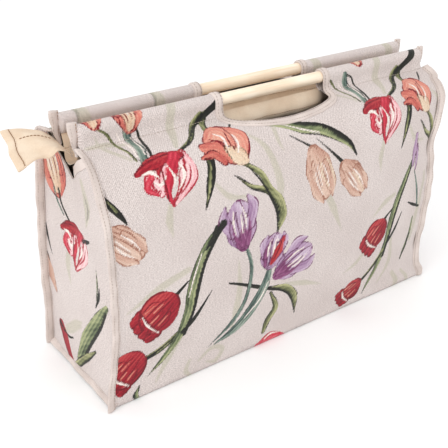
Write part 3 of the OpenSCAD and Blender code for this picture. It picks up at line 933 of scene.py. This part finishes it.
def notch_s(x, grown=0.0):
    """How far up the cloth the hand notch's edge is at x, grown by that much all round."""
    a = np.arccos(np.clip(x / (grip_half + grown), -1, 1))
    return s_foot - (notch_depth + grown) * np.sin(a) ** 0.8


def cloth_rows(x, rows, grown):
    """Lengths up the cloth for each column: below the notch they are squeezed to end at its edge."""
    top = np.where(np.abs(x) < grip_half + grown, notch_s(x, grown), s_foot)
    squeezed = (
        squeeze_from
        + (rows[:, None] - squeeze_from) * ((top - squeeze_from) / (s_foot - squeeze_from))[None]
    )
    squeezed = np.where(rows[:, None] > squeeze_from, squeezed, rows[:, None])
    return np.where(rows[:, None] > s_foot, rows[:, None], squeezed)


def side_columns(step, cut, reach, around):
    middle = cut * np.cos(np.linspace(math.pi, 0, around))
    outer = np.linspace(cut, reach, int((reach - cut) / step) + 1)[1:]
    return np.concatenate([-outer[::-1], middle, outer])


SIDES = {"front": (-1, paint_front), "back": (1, paint_back)}
for name, (face, paint) in SIDES.items():
    cut = grip_half + 2
    x = side_columns(1.5, cut, seam_half, 97)
    base_rows = np.linspace(-s_fold, 0, 23)
    wall_rows = np.linspace(0, s_foot, int(s_foot / 1.5))[1:]
    sleeve_rows = np.linspace(s_foot, s_end, int((s_end - s_foot) / 1.6))[1:]
    rows = np.concatenate([base_rows, wall_rows, sleeve_rows])
    s = cloth_rows(x, rows, 2)
    xx = np.broadcast_to(x, s.shape)
    points = skin(xx, s, face)
    foot_row = len(base_rows) + len(wall_rows) - 1
    open_col = np.abs(x) < cut - 0.01

    def keep(r, c):
        return (r < foot_row) | ~(open_col[c] | open_col[c + 1])

    piece = grid_piece(f"{name}_cloth", points, np.stack([xx, s], -1), keep, face > 0, paint)
    bend = ("base", f"{name}_side", (0, face * (half_d - 4), 0), (0, face * (half_d + 1), 6))
    finish_piece(piece, TAPESTRY, replaces=(f"{name}_panel", "base_panel"), bend=bend)


def on_skin(x, s, face, lift=0.0):
    """Points on a side's cloth and the direction away from it."""
    a, b = skin(x, s, face, lift), skin(x, s, face, lift + 1.0)
    return a, unit(b - a)


# ---- what is sewn to each side
NOTCH_TURN = np.radians(np.linspace(180, 0, 121))
for name, (face, _) in SIDES.items():
    body = f"{name}_side"

    # the lining, hung just inside the cloth
    cut = grip_half + 3
    x = side_columns(6, cut, seam_half - 2, 33)
    s = cloth_rows(x, np.linspace(4, s_foot - 8, 60), 6)
    piece = grid_piece(f"{name}_lining_cloth", skin(np.broadcast_to(x, s.shape), s, face, -2.4),
                       np.stack([np.broadcast_to(x, s.shape), s], -1), flip=face > 0)
    finish_piece(piece, LINING, body, [f"{name}_lining"])

    # tapes up the two side seams, over the shoulder to the foot of the sleeve
    s = np.arange(2.5, s_foot + 1, 1.0)
    for end, sign in (("left", -1), ("right", 1)):
        points, away = on_skin(sign * (seam_half - 0.6), s, face)
        outs = np.array([sign * 1.0, 0, 0]) + away * (0.2 + 0.25 * smooth((s - 225) / 30))[:, None]
        below = points[0] - np.arange(points[0][2] - 1.0, 0.5, -1.0)[:, None] * np.array([0, 0, 1.0])
        points, outs = np.vstack([below, points]), np.vstack([np.repeat(outs[:1], len(below), 0), outs])
        piece, rows = fin(f"{name}_{end}_seam_tape", points, outs)
        finish_piece(piece, BINDING, body, [f"{name}_{end}_seam_binding"])
        fin_stitches(f"{name}_{end}_seam_stitches", rows, body, at=(1.7, 6.6))

        # and folded over the sleeve's flattened end
        z = np.arange(248.5, dowel_z + SLEEVE_R + 2.6, 1.0)
        lean = 1.2 * np.sin((z - 254) / 9)
        points = np.stack([np.full_like(z, sign * (cloth_half - 0.5)) + 0.5 * np.sin(z / 3),
            face * (dowel_y + 0.4 * lean), z], -1)
        piece, rows = fin(f"{name}_{end}_sleeve_end", points,
            np.array([sign * 1.0, 0, 0]) * np.ones((len(z), 1)), tape + 0.5, 3.4,
                          grow=0.4 + 0.6 * smooth((z - 250) / 22))
        finish_piece(piece, BINDING, body, [f"{name}_{end}_end_binding"])
        fin_stitches(f"{name}_{end}_sleeve_end_stitches", rows, body, BROWN_THREAD, (1.4,))
        fin_stitches(f"{name}_{end}_sleeve_end_edge_stitches", rows, body, None, (6.8,))

        # the row that closes the sleeve under the dowel
        x = sign * np.arange(grip_half + tape + 1, cloth_half - 1, 1.0)
        points, away = on_skin(x, s_foot + 0.5, face)
        stitches(f"{name}_{end}_sleeve_stitches", points, away, PALE_THREAD, body)

    # the tape round the hand notch: a collar on one sleeve's mouth, the edge of the notch, the other collar
    middle = (tape - 1) / 2
    turn = NOTCH_TURN
    collar = np.arange(s_foot + 1, s_end - 12, 1.0)
    u = (grip_half + middle) * np.cos(turn)
    v = s_foot - (notch_depth + middle) * np.sin(turn) ** 0.8
    line = np.vstack([
        np.stack([np.full_like(collar, -grip_half - middle), collar[::-1]], -1),
        np.stack([u, v], -1),
        np.stack([np.full_like(collar, grip_half + middle), collar], -1),
    ])
    line = Path(line[::3], steps=3)
    s_line = np.arange(0, line.length, 1.0)
    flat, run = line.at(s_line), line.along(s_line)
    normal = np.stack([-run[:, 1], run[:, 0]], -1)  # towards the hole
    across, lift = tape_rings(s_line, tape, tape_t + 0.4)
    across = middle - across
    rings = skin(flat[:, :1] - normal[:, :1] * -across, flat[:, 1:] - normal[:, 1:] * -across, face, lift)
    piece = tube_piece(f"{name}_notch_tape", rings, s_line, across[0])
    finish_piece(piece, BINDING, body, [f"{name}_notch_binding"])
    for k, a in (("inner", middle - 1.6), ("outer", -middle + 1.6)):
        for j, face_lift in (("a", 1), ("b", -1)):
            at = flat + normal * a
            points, away = on_skin(at[:, 0], at[:, 1], face, face_lift * (tape_t + 0.4) * 0.42)
            stitches(f"{name}_notch_stitches_{k}_{j}", points, away * face_lift, PALE_THREAD,
                body)


# ---------------------------------------------------------------- the two ends
GUSSET_BOTTOM = 7.0
# Heights of a gusset's top edge from the front seam (-1) to the back seam (1): its fold hangs lowest
# behind the middle.
TOP_EDGE = [(-1, 254), (-0.72, 253.5), (-0.4, 248), (-0.18, 240), (0, 230), (0.19, valley_z - 4),
    (0.4, valley_z + 6),
            (0.7, 234), (1, 247)]
top_edge = Path(TOP_EDGE).points
WALL_Z = side.points[
    (side.points[:, 1] > fold_z) & (np.arange(len(side.points)) < side.steps * (len(BASE + WALL) - 1))
]


def gusset(v, h, sign, lift=0.0):
    """Points of an end: v from -1 at the front seam to 1 at the back, h from 0 at the base to 1 on top."""
    v, h, lift = np.broadcast_arrays(np.asarray(v, float), np.asarray(h, float), np.asarray(lift, float))
    top = np.interp(v, top_edge[:, 0], top_edge[:, 1])
    w = np.clip((top - valley_z + 4) / 40, 0, 1)
    z = GUSSET_BOTTOM + h * (top - GUSSET_BOTTOM)
    d = np.interp(z, WALL_Z[:, 1], WALL_Z[:, 0])
    pinch = smooth((z - 70) / 150)
    fold = 6 * pinch * (1 - w) ** 0.9 + 1.0 * pinch * np.sin(v * 5) * (1 - v**2)
    belly = 2.2 * np.sin(np.clip(z / 150, 0, 1) * math.pi) * (1 - v**2)
    waves = 0.9 * np.sin(z / 27 + 3 * v) * (1 - v**4) + 0.3 * np.sin(z / 6.1 + 2 * v) * np.abs(v) ** 9
    seam = seam_x(z, sign, -1) * (1 - v) / 2 + seam_x(z, sign, 1) * (1 + v) / 2
    x = sign * (seam - fold + belly + waves + lift)
    y = v * (d - 0.4)
    return np.stack([x, y, z], -1)


for end, sign in (("left", -1), ("right", 1)):
    for name, (face, _) in SIDES.items():
        v = face * np.linspace(0, 1, 46)
        h = np.linspace(0, 1, 150)
        vv, hh = np.meshgrid(v, h)
        points = gusset(vv, hh, sign)
        flat = points[..., 1:]
        bend = ("base", f"{name}_side", (0, 0, 0), (0, face * half_d, 0))
        paint = paint_left_gusset if sign < 0 else paint_right_gusset
        piece = grid_piece(f"{end}_gusset_{name}_half", points, flat, flip=face * sign < 0, paint=paint)
        finish_piece(piece, TAPESTRY, replaces=[f"{end}_gusset"], bend=bend)

        v, h = face * np.linspace(0, 0.985, 14), np.linspace(0.005, 0.958, 40)
        vv, hh = np.meshgrid(v, h)
        points = gusset(vv, hh, sign, -2.2)
        piece = grid_piece(f"{end}_gusset_lining_{name}_half", points, points[..., 1:], flip=face * sign < 0)
        finish_piece(piece, LINING, replaces=[f"{end}_gusset_lining"], bend=bend)

        # the hem along its top edge: turned to the inside on the back half
        v = face * np.linspace(0, 0.99, 90)
        top = gusset(v, 1.0, sign)
        down = unit(gusset(v, 0.95, sign) - top)
        away = unit(gusset(v, 1.0, sign, 1.0) - top)
        run = run_of(top)
        across, lift = tape_rings(run, 10, 2.2)
        out = 0.3 if face < 0 else -1.1
        rings = top[:, None] + down[:, None] * (across - 0.4)[..., None] + away[:,
            None] * (lift * 0.6 + out)[..., None]
        piece = tube_piece(f"{end}_gusset_hem_{name}_half", rings, run, across[0])
        finish_piece(piece, BINDING, replaces=[f"{end}_gusset_hem"], bend=bend)
        line = top + down * 7.8 - away * 1.6
        stitches(f"{end}_gusset_hem_stitches_{name}", line, -away, PALE_THREAD, bend=bend)

    # the tape along the bottom seam hangs outwards
    y = np.arange(-half_d - 1, half_d + 1.1, 1.0)
    sag = 0.5 * np.sin(y / 19)
    points = np.stack([np.full_like(y, sign * (seam_half - 4.5)), y, GUSSET_BOTTOM + 1.6 + sag], -1)
    outs = np.array([sign * 0.82, 0, -0.57]) * np.ones((len(y), 1))
    piece, rows = fin(f"{end}_base_tape", points, outs, 11.5, tape_t + 0.2, 0.9, 0.06)
    finish_piece(piece, BINDING, "base", [f"{end}_base_binding"])
    fin_stitches(f"{end}_base_stitches", rows, "base", at=(1.7, 6.8))

# the lining that covers the stiffening board
x, y = np.meshgrid(np.linspace(-1, 1, 60), np.linspace(-1, 1, 24))
lining_low, lining_high = corners("base_lining")
dimple = 0.25 * np.sin(x * 23) * np.sin(y * 7) + 0.25
points = np.stack([x * lining_high[0], y * lining_high[1], lining_low[2] + 0.3 + dimple], -1)
piece = grid_piece("base_lining_cloth", points, points[..., :2])
finish_piece(piece, LINING, "base", ["base_lining"])


# ---------------------------------------------------------------- dowels
def lathe(name, stations, radii, centre, sides=40):
    """A turned rod along X."""
    turn = np.linspace(0, 2 * math.pi, sides, endpoint=False)
    stations, radii = np.array(stations)[:, None], np.array(radii)[:, None]
    rings = np.stack([
        np.broadcast_to(stations, (len(stations), sides)),
        centre[1] + radii * np.cos(turn),
        centre[2] + radii * np.sin(turn),
    ], -1)
    return tube_piece(name, rings, stations[:, 0], turn * dowel_r)


for name, (face, _) in SIDES.items():
    ease = np.linspace(0, math.pi / 2, 6)
    tip = np.stack([-dowel_half + 1.5 - 1.5 * np.cos(ease), dowel_r - 1.5 + 1.5 * np.sin(ease)], -1)
    along = np.linspace(-dowel_half + 8, dowel_half - 8, 55)
    wear = dowel_r - 0.03 + 0.03 * np.sin(along / 31)
    stations = np.concatenate([tip[:, 0], along, -tip[::-1, 0]])
    radii = np.concatenate([tip[:, 1], wear, tip[::-1, 1]])
    piece = lathe(f"{name}_handle_rod", stations, radii, (0, face * dowel_y, dowel_z))
    finish_piece(piece, BIRCH, f"{name}_dowel", [f"{name}_dowel"])


# ---------------------------------------------------------------- the zip
# the strip is sewn to the sleeve along its hem
ZIP_DROP = Path([HEM[1], (14.4, 251.5), (14, 246), (13, 238.5), (10.8, zip_z + 1.2), (7.4, zip_z + 0.6)])
for name, (face, _) in SIDES.items():
    body = f"{name}_side"
    x = np.linspace(-cloth_half + 1, cloth_half - 1, 160)
    t = np.linspace(0, ZIP_DROP.length, 18)
    fall = ZIP_DROP.at(t)
    xx, dd = np.meshgrid(x, fall[:, 0])
    zz = np.broadcast_to(fall[:, 1:], xx.shape)
    free = np.sin(np.linspace(0, math.pi, 18))[:, None]
    slack = 11 * smooth((grip_half + 26 - np.abs(xx)) / 40)  # it bellies out under the hand notch
    dd = dd + free * (slack + 0.9 * np.sin(xx / 15 + face) + 0.5 * np.sin(xx / 4.7))
    points = np.stack([xx, face * dd, zz], -1)
    piece = grid_piece(f"{name}_zip_strip", points,
        np.stack([xx, np.broadcast_to(t[:, None], xx.shape)], -1), flip=face < 0)
    finish_piece(piece, CREAM_CLOTH, body, [f"{name}_zip_cloth"])
    outwards = np.tile([0, face * 0.9, 0.4], (points.shape[1], 1))
    stitches(f"{name}_zip_strip_stitches", points[8], outwards, BROWN_THREAD, body)

    tape_low, tape_high = corners(f"{name}_zip_tape")
    near, far = sorted((abs(tape_low[1]), abs(tape_high[1])))
    xx, dd = np.meshgrid(np.linspace(tape_low[0], tape_high[0], 240), np.linspace(near, far, 7))
    rib = 0.08 * np.cos(dd * 2 * math.pi / 1.2)
    points = np.stack([xx, face * dd, zip_z + rib + 0.1 * np.sin(xx / 7)], -1)
    piece = thicken(grid_piece(f"{name}_zip_tape_cloth", points, np.stack([xx, dd], -1)), 0.8)
    finish_piece(piece, ZIP_TAPE, body, [f"{name}_zip_tape"])

    # the coil's teeth: a flattened spiral that reaches just past the middle
    pitch = 1.7
    length = zip_high[0] - zip_low[0]
    a = np.arange(0, 2 * math.pi * length / pitch, math.pi / 5)
    centre = np.stack([
        zip_low[0] + a / (2 * math.pi) * pitch + (pitch / 2 if face > 0 else 0),
        face * (1.75 + 1.1 * np.cos(a)),
        zip_z + 0.75 * np.sin(a),
    ], -1)
    centre = centre[centre[:, 0] < zip_high[0]]
    along = unit(np.gradient(centre, axis=0))
    over = unit(np.cross(along, np.array([1.0, 0, 0])))
    up = np.cross(over, along)
    turn = np.arange(5) * 2 * math.pi / 5
    rings = centre[:, None] + 0.24 * (over[:, None] * np.cos(turn)[None, :, None] + up[:,
        None] * np.sin(turn)[None, :, None])
    piece = tube_piece(f"{name}_zip_teeth", rings, run_of(centre), turn * 0.24)
    finish_piece(piece, COIL, body, [f"{name}_zip_coil"])

for node in ("zip_slider", "zip_pull", "zip_stops"):
    for k in range(len(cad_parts[node].material_slots)):
        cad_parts[node].material_slots[k].material = METAL
for k in range(len(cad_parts["base_board"].material_slots)):
    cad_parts["base_board"].material_slots[k].material = BOARD


# ---------------------------------------------------------------- the zip's cloth tail
TAIL_FROM = [(-219, -9, 248.5), (-218, 12, 248.5)]  # its front and back edge past the end of the zip
TAIL_ROOT = [(-229, -9, 254.5), (-222, 30, 255)]  # where it leaves the bag
TAIL_END = [(-273, -14, 249.5), (-256, 53, 256.5)]


def tail(a, b, lift=0.0):
    """Points of the tail: a from 0 where it leaves the bag to 1 at its end, b from -1 (front) to 1."""
    a, b, lift = np.broadcast_arrays(np.asarray(a, float), np.asarray(b, float), np.asarray(lift, float))
    t, u = (a + 0.42) / 1.42, (b + 1) / 2
    start, root, end = (
        np.array(edge[0], float) * (1 - u[..., None]) + np.array(edge[1], float) * u[..., None]
        for edge in (TAIL_FROM, TAIL_ROOT, TAIL_END)
    )
    bow = (root - 0.496 * start - 0.088 * end) / 0.416
    t = t[..., None]
    at = (1 - t) ** 2 * start + 2 * t * (1 - t) * bow + t**2 * end
    front = np.clip(-b, 0, 1)
    out = smooth(a * 2.2)
    droop = -7 * front**1.6 * out * (0.6 + 0.4 * np.sin(a * 7 - 0.6))
    fold = 1.6 * np.sin(a * 9 + 2.4 * b) * front * out + 0.8 * np.sin(a * 5 - b * 3.4) * out
    return at + np.stack([0.8 * out * np.sin(b * 5), -1.5 * out * front * np.sin(a * 9),
        droop + fold + lift], -1)


a, b = np.meshgrid(np.linspace(-0.42, 0.86, 64), np.linspace(-1, 1, 60), indexing="ij")
piece = thicken(grid_piece("zip_tail_cloth", tail(a, b), np.stack([a * 47, b * 40], -1)), 0.9)
finish_piece(piece, CREAM_CLOTH, "back_side", ["zip_tail"])
b = np.linspace(-1, 1, 90)
edge = tail(0.83, b)
reach_out = unit(tail(1.0, b) - edge)
away = unit(tail(0.83, b, 1.0) - edge)
run = run_of(edge)
across, lift = tape_rings(run, 9, 2.2)
rings = edge[:, None] + reach_out[:, None] * across[..., None] + away[:, None] * lift[..., None]
piece = tube_piece("zip_tail_hem_fold", rings, run, across[0])
finish_piece(piece, CREAM_CLOTH, "back_side", ["zip_tail_hem"])
for k, face_lift in (("a", 1), ("b", -1)):
    line = edge + reach_out * 1.6 + away * face_lift * 0.9
    stitches(f"zip_tail_hem_stitches_{k}", line, away * face_lift, BROWN_THREAD,
        "back_side", length=2.8, radius=0.42)
    a = np.linspace(0.02, 0.8, 60)
    line, up = tail(a, 0.3, face_lift * 0.55), unit(tail(a, 0.3, 1.0) - tail(a, 0.3))
    stitches(f"zip_tail_middle_stitches_{k}", line, up * face_lift, BROWN_THREAD, "back_side",
             length=2.8, radius=0.42)


# ---------------------------------------------------------------- floor, light and camera
def stage():
    bpy.ops.mesh.primitive_plane_add(size=8, location=(0, 0, -0.0002))
    floor = bpy.context.object
    floor.name = "floor"
    f = Finish("floor", Base_Color=(0.96, 0.96, 0.96), Roughness=0.95, Specular_Ior_Level=0.0)
    floor.data.materials.append(f.material)
    world = bpy.data.worlds.new("studio")
    bpy.context.scene.world = world
    world.use_nodes = True
    world.node_tree.nodes["Background"].inputs["Color"].default_value = (1, 1, 1, 1)
    world.node_tree.nodes["Background"].inputs["Strength"].default_value = 1.04
    for name, place, size, power in (
        ("key", (-1.7, -0.6, 1.3), 1.4, 14),
        ("fill", (0.6, -1.5, 1.2), 1.6, 3),
    ):
        light = bpy.data.lights.new(name, "AREA")
        light.energy, light.size = power, size
        lamp = bpy.data.objects.new(name, light)
        bpy.context.scene.collection.objects.link(lamp)
        lamp.location = place
        aim = Matrix.Translation(place).to_translation() * -1
        lamp.rotation_euler = aim.to_track_quat("-Z", "Y").to_euler()
    bpy.context.scene.view_settings.view_transform = "Standard"


CAMERA_AT = (-0.5105, -0.6154, 0.5365)
CAMERA_TURN = (37.32, 28.21, 1.48)  # right of +Y, below level and about the view


def camera():
    """The camera stands to the left of the front, a little above, at about 0.95 m."""
    eye = bpy.data.cameras.new("camera")
    eye.lens, eye.sensor_width = 65.68, 36
    place = bpy.data.objects.new("camera", eye)
    bpy.context.scene.collection.objects.link(place)
    yaw, down, roll = (math.radians(angle) for angle in CAMERA_TURN)
    turn = (
        Matrix.Rotation(-yaw, 4, "Z")
        @ Matrix.Rotation(math.pi / 2 - down, 4, "X")
        @ Matrix.Rotation(roll, 4, "Z")
    )
    place.matrix_world = Matrix.Translation(CAMERA_AT) @ turn
    bpy.context.scene.camera = place


stage()
camera()
